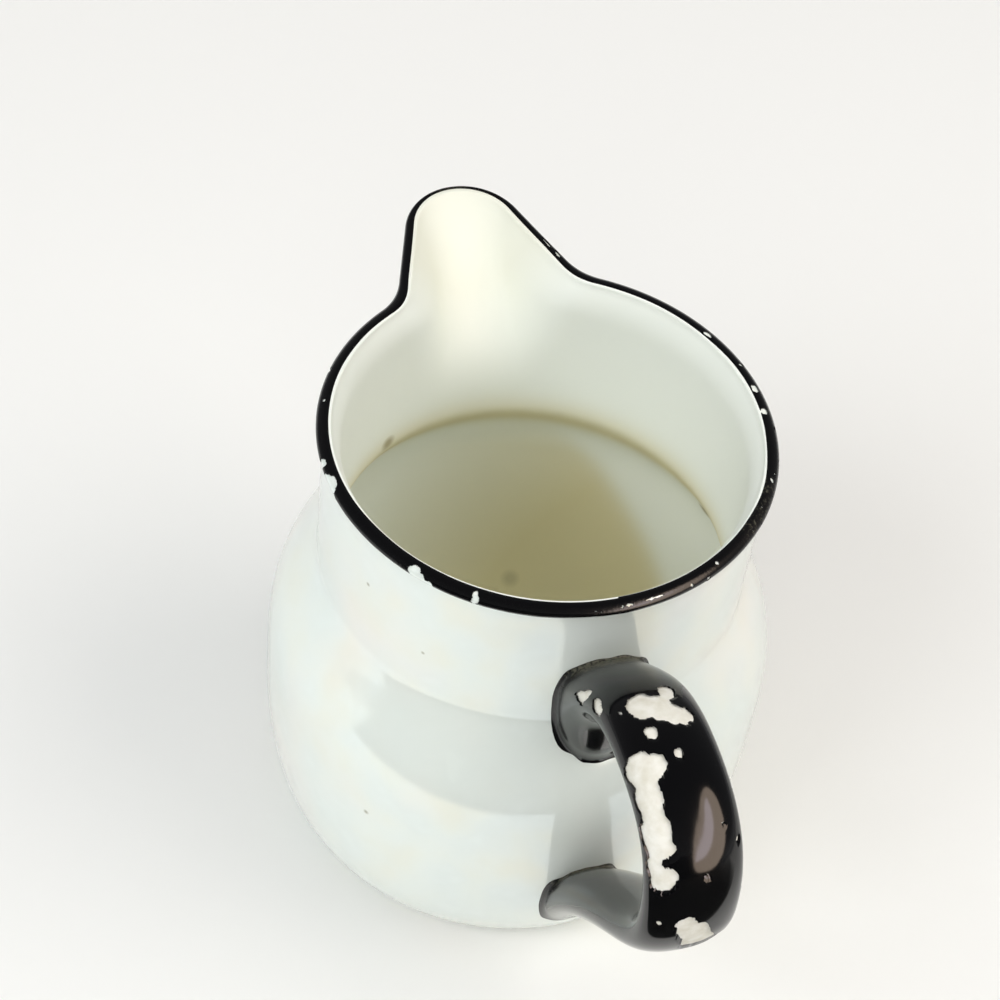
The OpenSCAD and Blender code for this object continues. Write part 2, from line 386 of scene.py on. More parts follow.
def body_path(steps):
    """Radii, heights and inside marks along the path from the underside to the inner floor."""
    recess_r = foot_r - foot_ring
    under_r = np.concatenate([np.linspace(1, recess_r, 6), np.linspace(recess_r, foot_r, 6)])
    under_z = np.repeat([foot_recess, 0.0], 6)
    outer_z = wall_levels(0, 0, lip_z[-1], steps)[1:-1]
    inner_z = wall_levels(wall, floor_t, lip_z[0], steps)[-2::-1]
    inner_r = jug_radius(inner_z, wall, floor_t)
    floor_r = np.linspace(inner_r[-1], 1, 8)[1:]
    r = np.concatenate([under_r, jug_radius(outer_z), lip_r[::-3], inner_r, floor_r])
    z = np.concatenate([under_z, outer_z, lip_z[::-3], inner_z, np.full(7, floor_t)])
    inside = np.zeros(len(r))
    inside[-len(inner_r) - len(floor_r) - len(lip_r[::-3]) // 2:] = 1
    return r, z, inside


# Cream stain and painted shade: heights and lengths in millimetres, turns in degrees, strengths from 0 to 1
tide_and_shade_z, tide_and_shade_spread, tide_and_shade_strength = 48.0, 4.0, 0.9
stain_and_shade_top, stain_and_shade_fade = 46.0, 10.0
stain_and_shade_least, stain_and_shade_most, stain_and_shade_middle = 0.03, 0.95, 0.5
shadow_edge_z, shadow_edge_turn, shadow_edge_slant, shadow_edge_spread = 42.0, 27.0, 1.55, 2.7
shadow_fade_z, shadow_fade_turn, shadow_fade_slant, shadow_fade_rate, shadow_fade_least = 13.0, 19.0, 1.1, 0.0155, 0.05
spout_shade_start, spout_shade_length, spout_shade_strength = 25.0, 9.0, 0.26


def cream_stain(angle, r, z, x):
    """Strength of the stain and painted shade at an angle, radius and height, with x the way towards the
    spout.

    It is the sum of a bell curve over the height, at the level where cream stood, mixed with
    painted shade where the shoulder turns in, a faint painted shade in the spout, and a part
    below the shoulder, darker towards the floor, times a share round the jug. That share is a
    painted shadow of the rim: it rises quickly past a slanting edge, fades out evenly on the
    far side, which is left lighter as painted light, and fades to one half in the middle of the floor.
    """
    # A cream tide line with painted shade in the band where the shoulder turns in.
    tide_and_shade = tide_and_shade_strength * np.exp(-((z - tide_and_shade_z) / tide_and_shade_spread) ** 2)
    # Stain and painted shade below the shoulder, darker towards the floor.
    stain_and_shade_below = np.clip((stain_and_shade_top - z) / stain_and_shade_fade, 0, 1)
    # Painted shadow of the rim: full past a slanting edge, fading out on the far side, which is left lighter
    # as painted light.
    edge = -np.radians(shadow_edge_turn + shadow_edge_slant * (shadow_edge_z - z))
    past_shadow_edge = np.degrees(np.angle(np.exp(1j * (angle - edge))))
    past_shadow_fade = np.degrees(angle) + shadow_fade_turn + shadow_fade_slant * (z - shadow_fade_z)
    shadow_fading = np.clip(1.0 - shadow_fade_rate * past_shadow_fade, shadow_fade_least, 1)
    shadow_side = shadow_fading / (1 + np.exp(-past_shadow_edge / shadow_edge_spread))
    off_middle = np.clip(r / foot_r, 0, 1)
    share = stain_and_shade_middle * (1 - off_middle) + shadow_side * off_middle
    # A faint painted shade along the throat of the spout.
    run = spout_shade_strength * np.clip((x - spout_shade_start) / spout_shade_length, 0, 1) * (z > shoulder_z)
    return np.clip(tide_and_shade + run + stain_and_shade_below * (stain_and_shade_least + stain_and_shade_most * share), 0, 1)


def glazed_body(name, angles, steps):
    """Rings along the body's path, closed at both poles, with the marks of inside and of stain and painted
    shade.
    """
    r, z, inside = body_path(steps)
    rows, columns = len(r), len(angles)
    grid = ring(angles[None], r[:, None], z[:, None])
    # Inside only: a cream stain mixed with painted shade.
    stain = inside[:, None] * cream_stain(angles[None], r[:, None], z[:, None], grid[..., 0])
    points = np.concatenate([grid.reshape(-1, 3), [[0, 0, z[0]], [0, 0, z[-1]]]])
    first, last = rows * columns, rows * columns + 1
    fans = np.concatenate([
        end_fan(0, columns, first), end_fan((rows - 1) * columns, columns, last)[:, [1, 0, 2]]])
    return make_piece(name, points, ring_quads(rows, columns), fans,
                      cream_stain=np.append(stain.reshape(-1), [0, stain_and_shade_middle]),
                      inside=np.append(np.repeat(inside, columns), [0, 1]))


body = glazed_body("glazed_body", column_angles(96, 172), 36)
stand_for(body, "jug_body", pearl_lustre_glaze())

# %% [markdown]
# ## Wear: patches where the enamel came off
# The enamel is brittle and lies on a smooth base, so it comes off in flakes with ragged
# edges. A painted mask would look flat at the edges. Here the coat is a real shell with
# its own thickness: faces inside a lost patch are left out, and walls close the broken
# edge. A patch is a few overlapping ellipses, and smooth noise makes its edge ragged.

# %% Patches and the shell of a coat
whole_coat = 9.0


def lattice_noise(x, y, cell, seed):
    """Random heights from -1 to 1 on a square lattice, eased between its points."""
    size = 128
    heights = np.random.default_rng(seed).uniform(-1, 1, (size, size))
    i, j = np.floor(x / cell).astype(int), np.floor(y / cell).astype(int)
    u, v = x / cell - i, y / cell - j
    u, v = u * u * (3 - 2 * u), v * v * (3 - 2 * v)
    i, j, next_i, next_j = i % size, j % size, (i + 1) % size, (j + 1) % size
    low = heights[i, j] * (1 - u) + heights[next_i, j] * u
    high = heights[i, next_j] * (1 - u) + heights[next_i, next_j] * u
    return low * (1 - v) + high * v


def coat_left(along, across, lobes, ragged, seed):
    """Distance in millimetres to the nearest lost patch: plus on the coat, minus in a patch."""
    left = np.full(np.broadcast(along, across).shape, whole_coat)
    for place, side, half_l, half_w in lobes:
        reach = np.hypot((along - place) / half_l, (across - side) / half_w)
        left = np.minimum(left, (reach - 1) * min(half_l, half_w))
    edge = lattice_noise(along, across, 1.0, seed) + 0.6 * lattice_noise(along, across, 0.42, seed + 1)
    return left + ragged * edge


def pull_to_edge(left, *coordinates):
    """Slide grid points that lie within half a cell of a patch's edge onto that edge."""
    padded = np.pad(left, ((0, 0), (1, 1)), mode="wrap")
    down, right = np.gradient(padded)
    down, right = down[:, 1:-1], right[:, 1:-1]
    pull = -left / np.maximum(down**2 + right**2, 1e-9)
    i, j = pull * down, pull * right
    near = (np.abs(i) < 0.5) & (np.abs(j) < 0.5)
    moved = []
    for values in coordinates:
        by_row, by_column = np.gradient(values)
        moved.append(values + near * (i * by_row + j * by_column))
    return [np.where(near, 0.0, left), *moved]


def kept_cells(left):
    """Which cells keep their coat; cells that would touch only at a corner are filled."""
    following = np.roll(left, -1, axis=1)
    keep = (left[:-1] + left[1:] + following[:-1] + following[1:]) > 0
    for _ in range(3):
        a, b = keep[:-1], keep[1:]
        c, d = np.roll(a, -1, axis=1), np.roll(b, -1, axis=1)
        crossed = (a & d & ~b & ~c) | (b & c & ~a & ~d)
        keep[:-1] |= crossed
        keep[1:] |= crossed
    return keep


def coat_shell(name, top, bottom, keep, **marks):
    """Closed shell between two grids: kept cells above and below, and walls along every open edge."""
    rows, columns = top.shape[:2]
    count = rows * columns
    cells = ring_quads(rows, columns)[keep.reshape(-1)]
    tail, head = cells.reshape(-1), np.roll(cells, -1, axis=1).reshape(-1)
    open_edge = ~np.isin(tail * count + head, head * count + tail)
    tail, head = tail[open_edge], head[open_edge]
    walls = np.stack([head, tail, tail + count, head + count], -1)
    quads = np.concatenate([cells, cells[:, ::-1] + count, walls])
    used, quads = np.unique(quads, return_inverse=True)
    points = np.concatenate([top.reshape(-1, 3), bottom.reshape(-1, 3)])[used]
    marks = {mark: np.tile(values.reshape(-1), 2)[used] for mark, values in marks.items()}
    return make_piece(name, points, quads.reshape(-1, 4), **marks)


# %% [markdown]
# ## Black enamel
# Overglaze enamel is a soft glass with a black pigment. It is brushed on and melts to a
# mirror: deep black where it faces the eye, grey where it mirrors the white table at a
# slant. Dust leaves pinholes in it, and near the joints it burnt thin and grainy.

# %% Material of the black coats
def black_enamel():
    """Black glass with pinholes, and an olive grain where the mark says the coat is thin."""
    material, tree = new_material("black overglaze enamel, brushed and fired")
    where = add_node(tree, "ShaderNodeTexCoord").outputs["Object"]
    thin = add_node(tree, "ShaderNodeAttribute", attribute_name="burnt_thin")
    grain = add_node(tree, "ShaderNodeTexNoise", {"Vector": where, "Scale": per_mm(0.32), "Detail": 3.0})
    speckle = add_node(tree, "ShaderNodeMath", {0: grain.outputs["Fac"], 1: thin.outputs["Fac"]},
                       operation="MULTIPLY")
    show = add_node(tree, "ShaderNodeMapRange", {
        "Value": speckle.outputs["Value"], "From Min": 0.38, "From Max": 0.52})
    colour = add_node(tree, "ShaderNodeMix", {
        0: show.outputs["Result"], 6: linear("#08080A"), 7: linear("#57564A")}, data_type="RGBA")
    gloss = add_node(tree, "ShaderNodeMapRange", {
        "Value": thin.outputs["Fac"], "To Min": 0.1, "To Max": 0.4})
    brush = add_node(tree, "ShaderNodeTexNoise", {"Vector": where, "Scale": per_mm(2.2), "Detail": 2.0})
    relief = add_node(tree, "ShaderNodeBump", {
        "Height": brush.outputs["Fac"], "Strength": 0.05, "Distance": 0.2 * MM})
    burnt = add_node(tree, "ShaderNodeBump", {
        "Height": speckle.outputs["Value"], "Strength": 0.5, "Distance": 0.1 * MM,
        "Normal": relief.outputs["Normal"]})
    shader = add_node(tree, "ShaderNodeBsdfPrincipled", {
        "Base Color": colour.outputs[2], "Roughness": gloss.outputs["Result"], "IOR": 1.5,
        "Normal": burnt.outputs["Normal"]})
    add_node(tree, "ShaderNodeOutputMaterial", {"Surface": shader.outputs["BSDF"]})
    return material


enamel = black_enamel()

# %% [markdown]
# ## The rim line
# A banding wheel and a loaded brush leave an even line that follows the spout too. The
# coat covers the lip from just inside its crest to the underside of the bead. It thins to
# nothing at both edges, and its edges waver a little, as a line drawn by hand does. Towards
# the tip of the spout, where it is wiped most, the line is worn narrow and dull.

# %% The black line on the lip
line_inner, line_outer = 0.05, 2.3
line_waver = 0.12
line_t, line_sink = 0.16, 0.02
spout_narrowing = 0.06
tip_wear, tip_wear_turn, tip_dullness = 0.5, 0.13, 0.8
dull_turn, dull_spread = -130.0, 28.0

# Lost patches: angle round the rim in degrees, distance from the crest, half length, half width
rim_patches = [
    (129.0, 1.7, 0.8, 0.8), (130.4, 1.9, 0.9, 0.6), (132.6, 2.2, 1.0, 0.4), (145.0, 1.8, 0.35, 0.5),
    (144.6, 1.1, 0.2, 0.35),
    (175.0, 1.5, 1.3, 0.12), (-178.5, 1.3, 1.0, 0.13), (-171.0, 1.2, 0.8, 0.14),
    (95.4, 1.8, 1.4, 0.9), (97.8, 2.2, 0.9, 0.5), (93.2, 2.2, 1.2, 0.6), (88.5, 1.8, 0.8, 0.6),
    (68.0, 1.0, 0.3, 0.18),
    (56.6, 1.8, 0.5, 0.5), (-65.0, 0.5, 0.7, 0.35), (-78.5, 1.1, 0.25, 0.3), (-88.0, 0.8, 0.7, 0.5),
    (-95.9, 0.7, 0.5, 0.4), (-17.1, 0.9, 1.3, 0.28), (-19.4, 0.9, 0.6, 0.4),
    (-119.5, 1.0, 0.25, 0.2), (-137.0, 1.4, 0.3, 0.2), (-161.0, 1.5, 0.35, 0.22), (30.0, 1.9, 0.4, 0.3),
    (-101.0, 1.6, 0.24, 0.22), (-106.0, 0.9, 0.22, 0.2), (-112.0, 1.8, 0.26, 0.22), (-117.0, 1.3, 0.22, 0.2),
    (-124.0, 1.7, 0.3, 0.22), (-129.0, 0.8, 0.22, 0.2), (-133.0, 1.9, 0.26, 0.22), (-142.0, 1.2, 0.24, 0.2),
    (-147.0, 1.8, 0.3, 0.2), (-152.0, 0.9, 0.24, 0.2), (-156.0, 1.9, 0.35, 0.2)]


def rim_line(name, columns, rows):
    """The coat as a grid: distance across the lip by distance round it, lifted by its thickness."""
    fine = np.linspace(-math.pi, math.pi, 4001)
    crest = ring(fine, lip_in_r, rim_height)
    length = np.concatenate([[0], np.cumsum(np.linalg.norm(np.diff(crest, axis=0), axis=1))])
    share = np.linspace(0, 1, rows)[:, None]
    round_rim = np.linspace(0, length[-1], columns, endpoint=False)[None]
    turn = np.interp(round_rim, length, fine)
    worn_tip = np.exp(-((turn / tip_wear_turn) ** 2))
    inner = line_inner + spout_narrowing * (1 + np.cos(turn)) + tip_wear * worn_tip
    inner = inner + line_waver * lattice_noise(round_rim, 0 * round_rim, 7.0, 3)
    outer = line_outer + line_waver * lattice_noise(round_rim, 0 * round_rim, 5.0, 4)
    across, along = np.broadcast_arrays(inner + (outer - inner) * share, round_rim)
    lobes = [(np.interp(math.radians(place), fine, length), *rest) for place, *rest in rim_patches]
    left = coat_left(along, across, lobes, 0.17, 11)
    left, along, across = pull_to_edge(left, along, across)
    angle = np.interp(along, length, fine)
    thickness = line_t * (1 - np.abs(2 * share - 1) ** 5) + line_sink
    top = ring(angle, *lip_point(across, thickness))
    bottom = ring(angle, *lip_point(across, -line_sink))
    dull = np.clip(1 - np.abs(np.degrees(angle) - dull_turn) / dull_spread, 0.3, 0.7)
    dull = np.maximum(dull, tip_dullness * worn_tip)
    return coat_shell(name, top, bottom, kept_cells(left), burnt_thin=dull)


rim = rim_line("rim_line", 1400, 15)
stand_for(rim, "rim_enamel", enamel)

# %% [markdown]
# ## The strap of the handle
# The handle is cast by itself as a strap with rounded sides. Its upper end flares like a
# trumpet where it meets the neck, and its lower end runs down on to the belly. Three cubic
# curves make its centre line, and a superellipse of changing size is carried along it.

# %% Centre line and section of the strap
handle_out = 26.2
back_drop, crown_drop = 18.4, 4.8
upper_joint_drop, lower_joint_drop = 19.6, 8.2
strap_w, strap_t = 11.5, 5.5
root_w, root_t, tail_w = 10.2, 17.6, 9.0
root_rise, tail_fall = math.radians(40), math.radians(64)
root_sink, tail_sink = 4.2, 12.0
root_share, tail_share = 0.233, 0.3
strap_power = 2.3
crown_share = 0.574
# Pulls at the two ends of each curve, as shares of the distance between its ends
rise_pulls, bend_pulls, run_pulls = (0.25, 0.467), (0.47, 0.487), (0.193, 0.592)

handle_reach = belly_r + handle_out
out_of_neck = np.array([-math.cos(root_rise), math.sin(root_rise)])
out_of_belly = np.array([-math.cos(tail_fall), math.sin(tail_fall)])
root = np.array([-neck_r, rim_height - upper_joint_drop]) - root_sink * out_of_neck
crown = np.array([-neck_r - crown_share * (handle_reach - neck_r), rim_height - crown_drop])
back = np.array([-handle_reach, rim_height - back_drop])
tail = np.array([-belly_r, belly_height - lower_joint_drop]) - tail_sink * out_of_belly
rise, bend, run = (np.linalg.norm(b - a) for a, b in ((root, crown), (crown, back), (back, tail)))
inwards, upwards = np.array([1.0, 0.0]), np.array([0.0, 1.0])
curves = np.array([
    [root, root + rise_pulls[0] * rise * out_of_neck, crown + rise_pulls[1] * rise * inwards, crown],
    [crown, crown - bend_pulls[0] * bend * inwards, back + bend_pulls[1] * bend * upwards, back],
    [back, back - run_pulls[0] * run * upwards, tail + run_pulls[1] * run * out_of_belly, tail]])


def centre_line(share):
    """Point and unit direction of the three cubic curves; each takes a third of the share."""
    part = np.clip((share * 3).astype(int), 0, 2)
    t = (share * 3 - part)[..., None]
    a, b, c, d = (curves[part, i] for i in range(4))
    point = a * (1 - t) ** 3 + 3 * b * (1 - t) ** 2 * t + 3 * c * (1 - t) * t**2 + d * t**3
    way = (b - a) * (1 - t) ** 2 + 2 * (c - b) * (1 - t) * t + (d - c) * t**2
    return point, way / np.linalg.norm(way, axis=-1, keepdims=True)


def signed_power(x, power):
    """The power of the size of x, with the sign of x."""
    return np.sign(x) * np.abs(x) ** power


fine_share = np.linspace(0, 1, 3001)
fine_line = centre_line(fine_share)[0]
fine_along = np.concatenate([[0], np.cumsum(np.linalg.norm(np.diff(fine_line, axis=0), axis=1))])
fine_turn = np.linspace(-math.pi, math.pi, 3601)
fine_across = np.concatenate([[0], np.cumsum(np.hypot(
    np.diff(strap_w / 2 * signed_power(np.sin(fine_turn), 2 / strap_power)),
    np.diff(strap_t / 2 * signed_power(np.cos(fine_turn), 2 / strap_power))))])
half_girth = fine_across[-1] / 2
fine_across -= half_girth


def strap_point(along, across, grow=0.0):
    """Point of the strap's surface.

    along is the distance on the centre line from the upper end. across is the distance
    round the section from the middle of the outer face, plus towards +Y. The section is a
    superellipse square to the centre line, and grow makes it larger all round.
    """
    share = np.interp(along, fine_along, fine_share)
    turn = np.interp(across, fine_across, fine_turn)
    point, way = centre_line(share)
    root_fade = np.maximum(1 - share / root_share, 0) ** 2
    tail_fade = np.maximum(1 - (1 - share) / tail_share, 0) ** 2
    half_w = (strap_w + (root_w - strap_w) * root_fade + (tail_w - strap_w) * tail_fade) / 2 + grow
    half_t = (strap_t + (root_t - strap_t) * root_fade) / 2 + grow
    side = half_w * signed_power(np.sin(turn), 2 / strap_power)
    off = half_t * signed_power(np.cos(turn), 2 / strap_power)
    return np.stack([point[..., 0] + way[..., 1] * off, side, point[..., 1] - way[..., 0] * off], -1)


print("centre line %.1f mm, girth %.1f mm" % (fine_along[-1], 2 * half_girth))

# %% [markdown]
# ## Where the strap meets the wall
# The ends of the handle are cut to the curve of the jug. For every line along the strap the
# point where it leaves the wall is found by sampling the line finely and looking for the
# change of side, so the end ring lies on the wall exactly and no hidden stump is left.

# %% Cutting the strap to the wall
def height_over_wall(points):
    """Distance of points from the round outside of the jug, measured level."""
    return np.hypot(points[..., 0], points[..., 1]) - jug_radius(points[..., 2])


def strap_span(across, lift, grow=0.0):
    """Where lines along the strap come out of the wall and go back in, at a height over the wall."""
    along = np.linspace(0, fine_along[-1], 2400)[:, None]
    over = height_over_wall(strap_point(along + 0 * across, across + 0 * along, grow)) - lift
    first = np.argmax(over > 0, axis=0)
    last = len(along) - 1 - np.argmax(over[::-1] > 0, axis=0)
    column = np.arange(len(across))
    ends = []
    for outer, inner in ((first, first - 1), (last, last + 1)):
        a, b = over[inner, column], over[outer, column]
        ends.append(along[inner, 0] + (along[outer, 0] - along[inner, 0]) * a / (a - b))
    return ends


def on_wall(points, lift):
    """The same points moved level on to the wall, at a height over it."""
    size = np.hypot(points[..., 0], points[..., 1])
    scale = (jug_radius(points[..., 2]) + lift) / size
    return points * np.stack([scale, scale, np.ones_like(scale)], -1)


def wall_cap(ring_points, lift, rows):
    """Rows of points from an end ring towards its middle, laid on the wall."""
    share = np.linspace(0, 0.9, rows)[1:, None, None]
    middle = ring_points.mean(axis=0)
    return on_wall(ring_points * (1 - share) + middle * share, lift)


def capped_tube(name, body_rows, start_lift, end_lift):
    """A tube of rings whose two ends are closed by caps on the wall."""
    start = wall_cap(body_rows[0], start_lift, 6)[::-1]
    end = wall_cap(body_rows[-1], end_lift, 6)
    rows = np.concatenate([start, body_rows, end])
    middles = np.stack([rows[0].mean(axis=0), rows[-1].mean(axis=0)])
    poles = on_wall(middles, np.array([start_lift, end_lift]))
    count, columns = rows.shape[:2]
    fans = np.concatenate([
        end_fan(0, columns, count * columns),
        end_fan((count - 1) * columns, columns, count * columns + 1)[:, [1, 0, 2]]])
    return make_piece(name, np.concatenate([rows.reshape(-1, 3), poles]), ring_quads(count, columns), fans)


# %% [markdown]
# ## Bare clay and slip
# Under the enamel the strap is fired clay. It is matt and cream white, with faint mottles
# and a fine grain, because the flakes took the glaze with them. The two beds of slip that
# hold the strap are the same clay, thinned with water, so they fire a little darker.

# %% Materials of clay and slip
def bare_clay(name, pale, dark):
    """Matt fired clay: two close tones in mottles, with a fine grain in relief."""
    material, tree = new_material(name)
    where = add_node(tree, "ShaderNodeTexCoord").outputs["Object"]
    mottle = add_node(tree, "ShaderNodeTexNoise", {"Vector": where, "Scale": per_mm(1.6), "Detail": 4.0})
    tone = add_node(tree, "ShaderNodeMapRange", {
        "Value": mottle.outputs["Fac"], "From Min": 0.35, "From Max": 0.7})
    colour = add_node(tree, "ShaderNodeMix", {
        0: tone.outputs["Result"], 6: linear(pale), 7: linear(dark)}, data_type="RGBA")
    grain = add_node(tree, "ShaderNodeTexNoise", {"Vector": where, "Scale": per_mm(0.5), "Detail": 3.0})
    relief = add_node(tree, "ShaderNodeBump", {
        "Height": grain.outputs["Fac"], "Strength": 0.35, "Distance": 0.1 * MM})
    shader = add_node(tree, "ShaderNodeBsdfPrincipled", {
        "Base Color": colour.outputs[2], "Roughness": 0.65, "Normal": relief.outputs["Normal"]})
    add_node(tree, "ShaderNodeOutputMaterial", {"Surface": shader.outputs["BSDF"]})
    return material


clay = bare_clay("fired earthenware, bare where the enamel flaked off", "#F1EFE6", "#DEDACB")
slip = bare_clay("fired slip, spread on as a joint", "#DDD5C2", "#C9BFA8")

# %% The clay strap and its two beds of slip
strap_across = np.linspace(-half_girth, half_girth, 84, endpoint=False)
strap_in, strap_out = strap_span(strap_across, lute_t)
wall_in, wall_out = strap_span(strap_across, 0.0)


def strap_rows(start, end, rows):
    """Rings of the strap between two cut ends, evenly spaced on every line along it."""
    share = np.linspace(0, 1, rows)[:, None]
    along = start + (end - start) * share
    return strap_point(along, strap_across + 0 * along)


strap = capped_tube("strap_handle", strap_rows(strap_in, strap_out, 220), lute_t, lute_t)
stand_for(strap, "handle", clay)

upper_bed = capped_tube("upper_slip_bed", strap_rows(wall_in, strap_in, 5), 0.0, lute_t)
stand_for(upper_bed, "upper_handle_lute", slip)

lower_bed = capped_tube("lower_slip_bed", strap_rows(strap_out, wall_out, 5), lute_t, 0.0)
stand_for(lower_bed, "lower_handle_lute", slip)

# %% [markdown]
# ## The enamel on the strap
# The same black enamel goes all round the strap. At both ends it pooled in the corner
# against the wall, so the last rows swing out on to the glaze in a short curve. The lost
# patches lie where a thumb rests and where the strap is set down: on its back and left edge.

# %% The black coat of the strap
pool_run, pool_width, pool_rows = 1.6, 0.7, 8
face_half, face_step = 7.5, 0.2
burnt_reach, burnt_waver = 4.0, 2.0
burnt_from_upper, burnt_from_lower = 1.5, 1.0

# Lost patches: distance along the strap, distance across from the middle, half length, half width
strap_patches = [
    (25.0, 1.5, 2.0, 1.8), (25.8, -0.6, 2.1, 1.8), (23.5, -2.1, 1.4, 1.0), (27.2, -2.3, 1.4, 1.8),
    (28.6, 1.9, 0.9, 0.8), (31.8, -0.2, 0.6, 0.55),
    (32.0, 4.6, 1.8, 2.2), (32.4, 2.5, 1.6, 1.2), (35.6, 4.7, 2.9, 1.7), (38.8, 4.9, 2.3, 2.0),
    (40.6, 4.4, 1.4, 1.7), (43.6, 4.5, 1.7, 1.8), (42.2, 5.5, 1.3, 1.0),
    (50.2, 1.5, 1.5, 1.4), (52.0, 0.3, 2.1, 2.1), (54.4, -0.9, 2.4, 2.1), (55.6, -3.0, 1.6, 2.0),
    (15.0, 6.4, 1.3, 0.6), (16.0, 6.9, 0.7, 0.4), (17.3, 5.8, 1.1, 0.7), (21.2, 6.0, 1.4, 0.8),
    (24.7, 4.1, 0.3, 0.25), (43.9, -0.5, 0.55, 0.5), (44.4, 0.5, 0.25, 0.25), (39.4, -3.1, 0.45, 0.4),
    (41.0, -5.0, 0.45, 0.4), (50.0, 4.5, 0.7, 0.5), (48.9, 4.6, 0.3, 0.25),
    (62.0, 3.0, 1.2, 0.9), (63.4, 4.2, 0.8, 0.7), (70.5, -1.5, 0.7, 0.6),
    (36.0, -6.6, 1.1, 0.5), (47.5, -6.2, 0.6, 0.4), (20.0, -5.8, 0.5, 0.35)]


def pooled_end(on_strap, at_corner, width):
    """Rows of a quadratic curve from the strap to a point out on the wall, with the corner as its pull."""
    middle = at_corner.mean(axis=0)
    away = at_corner - middle
    away /= np.linalg.norm(away, axis=-1, keepdims=True)
    on_glaze = on_wall(at_corner + width * away, 0.0)
    t = np.linspace(0, 1, pool_rows + 1)[1:, None, None]
    return on_strap * (1 - t) ** 2 + 2 * at_corner * t * (1 - t) + on_glaze * t**2


def strap_coat(name):
    """The coat as a grid along and round the strap, between the pools at its two ends."""
    outer_face = np.arange(-face_half, face_half, face_step)
    inner_face = np.linspace(face_half, 2 * half_girth - face_half, 37)[:-1]
    column = np.concatenate([outer_face, inner_face])
    column = np.where(column > half_girth, column - 2 * half_girth, column)
    spacing = np.interp(np.linspace(0, 1, 330), [0, 0.08, 0.82, 1], [0, 0.05, 0.64, 1])[:, None]
    turn = math.pi * column / half_girth
    waver = lattice_noise(6 * np.cos(turn), 6 * np.sin(turn), 2.2, 31)
    layers = []
    for grow, width in ((enamel_t, pool_width * (1 + 0.7 * waver[:, None])), (0.0, 0.1)):
        start, end = strap_span(column, 0.0, grow)
        along = start + pool_run + (end - start - 2 * pool_run) * spacing
        across = column + 0 * along
        if not layers:
            left = coat_left(along, across, strap_patches, 0.22, 21)
            left, slid_along, slid_across = pull_to_edge(left, along, across)
            slide = slid_along - along
        rows = strap_point(along + slide, slid_across, grow)
        upper = pooled_end(rows[0], strap_point(start, column, grow), width)[::-1]
        lower = pooled_end(rows[-1], strap_point(end, column, grow), width)
        layers.append(np.concatenate([upper, rows, lower]))
    outer_side = np.clip(1.5 - np.abs(column) / 6.5, 0, 1)
    inner_side = np.clip((np.abs(column) - 6.0) / 4.0, 0, 1)
    reach = burnt_reach + burnt_waver * waver
    thin = np.maximum(outer_side * np.clip(1 - (along - start - burnt_from_upper) / reach, 0, 1),
                      inner_side * np.clip(1 - (end - along - burnt_from_lower) / reach, 0, 1))
    thin = np.concatenate([np.tile(outer_side, (pool_rows, 1)), thin, np.tile(inner_side, (pool_rows, 1))])
    left = np.pad(left, ((pool_rows, pool_rows), (0, 0)), constant_values=whole_coat)
    return coat_shell(name, layers[0], layers[1], kept_cells(left), burnt_thin=thin)


coat = strap_coat("strap_coat")
stand_for(coat, "handle_enamel", enamel)

# %% [markdown]
# ## Table, room and light
# The jug stands on a white table. Four large soft lamps light it: one overhead like a pale
# ceiling, one beside the camera and one on each side. Their outlines would show as hard
# streaks in the glaze, so they are kept out of mirror reflections. Two long lamps on the
# right, one inside the other, are seen only in reflections and draw the gleam on the strap.
# The room is dark above, which keeps the enamel black. A dark cloth round the front is seen
# only in reflections too: it draws the grey band that tells the eye how glossy the belly is.

# %% The table
def plain_surface(name, code, roughness, cover=None):
    """A plain matt material of one colour; if cover names a mark, it is clear where that is 0."""
    material, tree = new_material(name)
    inputs = {"Base Color": linear(code), "Roughness": roughness, "Specular IOR Level": 0.2}
    if cover:
        inputs["Alpha"] = add_node(tree, "ShaderNodeAttribute", attribute_name=cover).outputs["Fac"]
    shader = add_node(tree, "ShaderNodeBsdfPrincipled", inputs)
    add_node(tree, "ShaderNodeOutputMaterial", {"Surface": shader.outputs["BSDF"]})
    return material


def stage_sheet(name, rows, material):
    """An open sheet through rows of points, which belongs to the stage."""
    points = np.asarray(rows, dtype=float)
    count = points.shape[1]
    first = (np.arange(len(points) - 1)[:, None] * count + np.arange(count - 1)).reshape(-1, 1)
    mesh = bpy.data.meshes.new(name)
    mesh.from_pydata(points.reshape(-1, 3).tolist(), [], (first + [0, 1, count + 1, count]).tolist())
    mesh.materials.append(material)
    sheet = bpy.data.objects.new(name, mesh)
    bpy.context.scene.collection.objects.link(sheet)
    return sheet


table_half = 3.0
table_rows = [[(-table_half, far, 0), (table_half, far, 0)] for far in (-table_half, table_half)]
table = stage_sheet("table", table_rows, plain_surface("white board, matt", "#F8F8F6", 0.8))

# %% The camera
view_from = Vector((-0.190705, 0.085189, 0.299467))
view_heading = math.radians(-22.7)
view_down = math.radians(48.91)
view_roll = math.radians(7.96)
frame_pixels, focal_pixels = 1000, 2400

forward = Vector((math.cos(view_down) * math.cos(view_heading),
                  math.cos(view_down) * math.sin(view_heading), -math.sin(view_down)))
level_right = forward.cross(Vector((0, 0, 1))).normalized()
level_up = level_right.cross(forward)
right = math.cos(view_roll) * level_right + math.sin(view_roll) * level_up
up = math.cos(view_roll) * level_up - math.sin(view_roll) * level_right

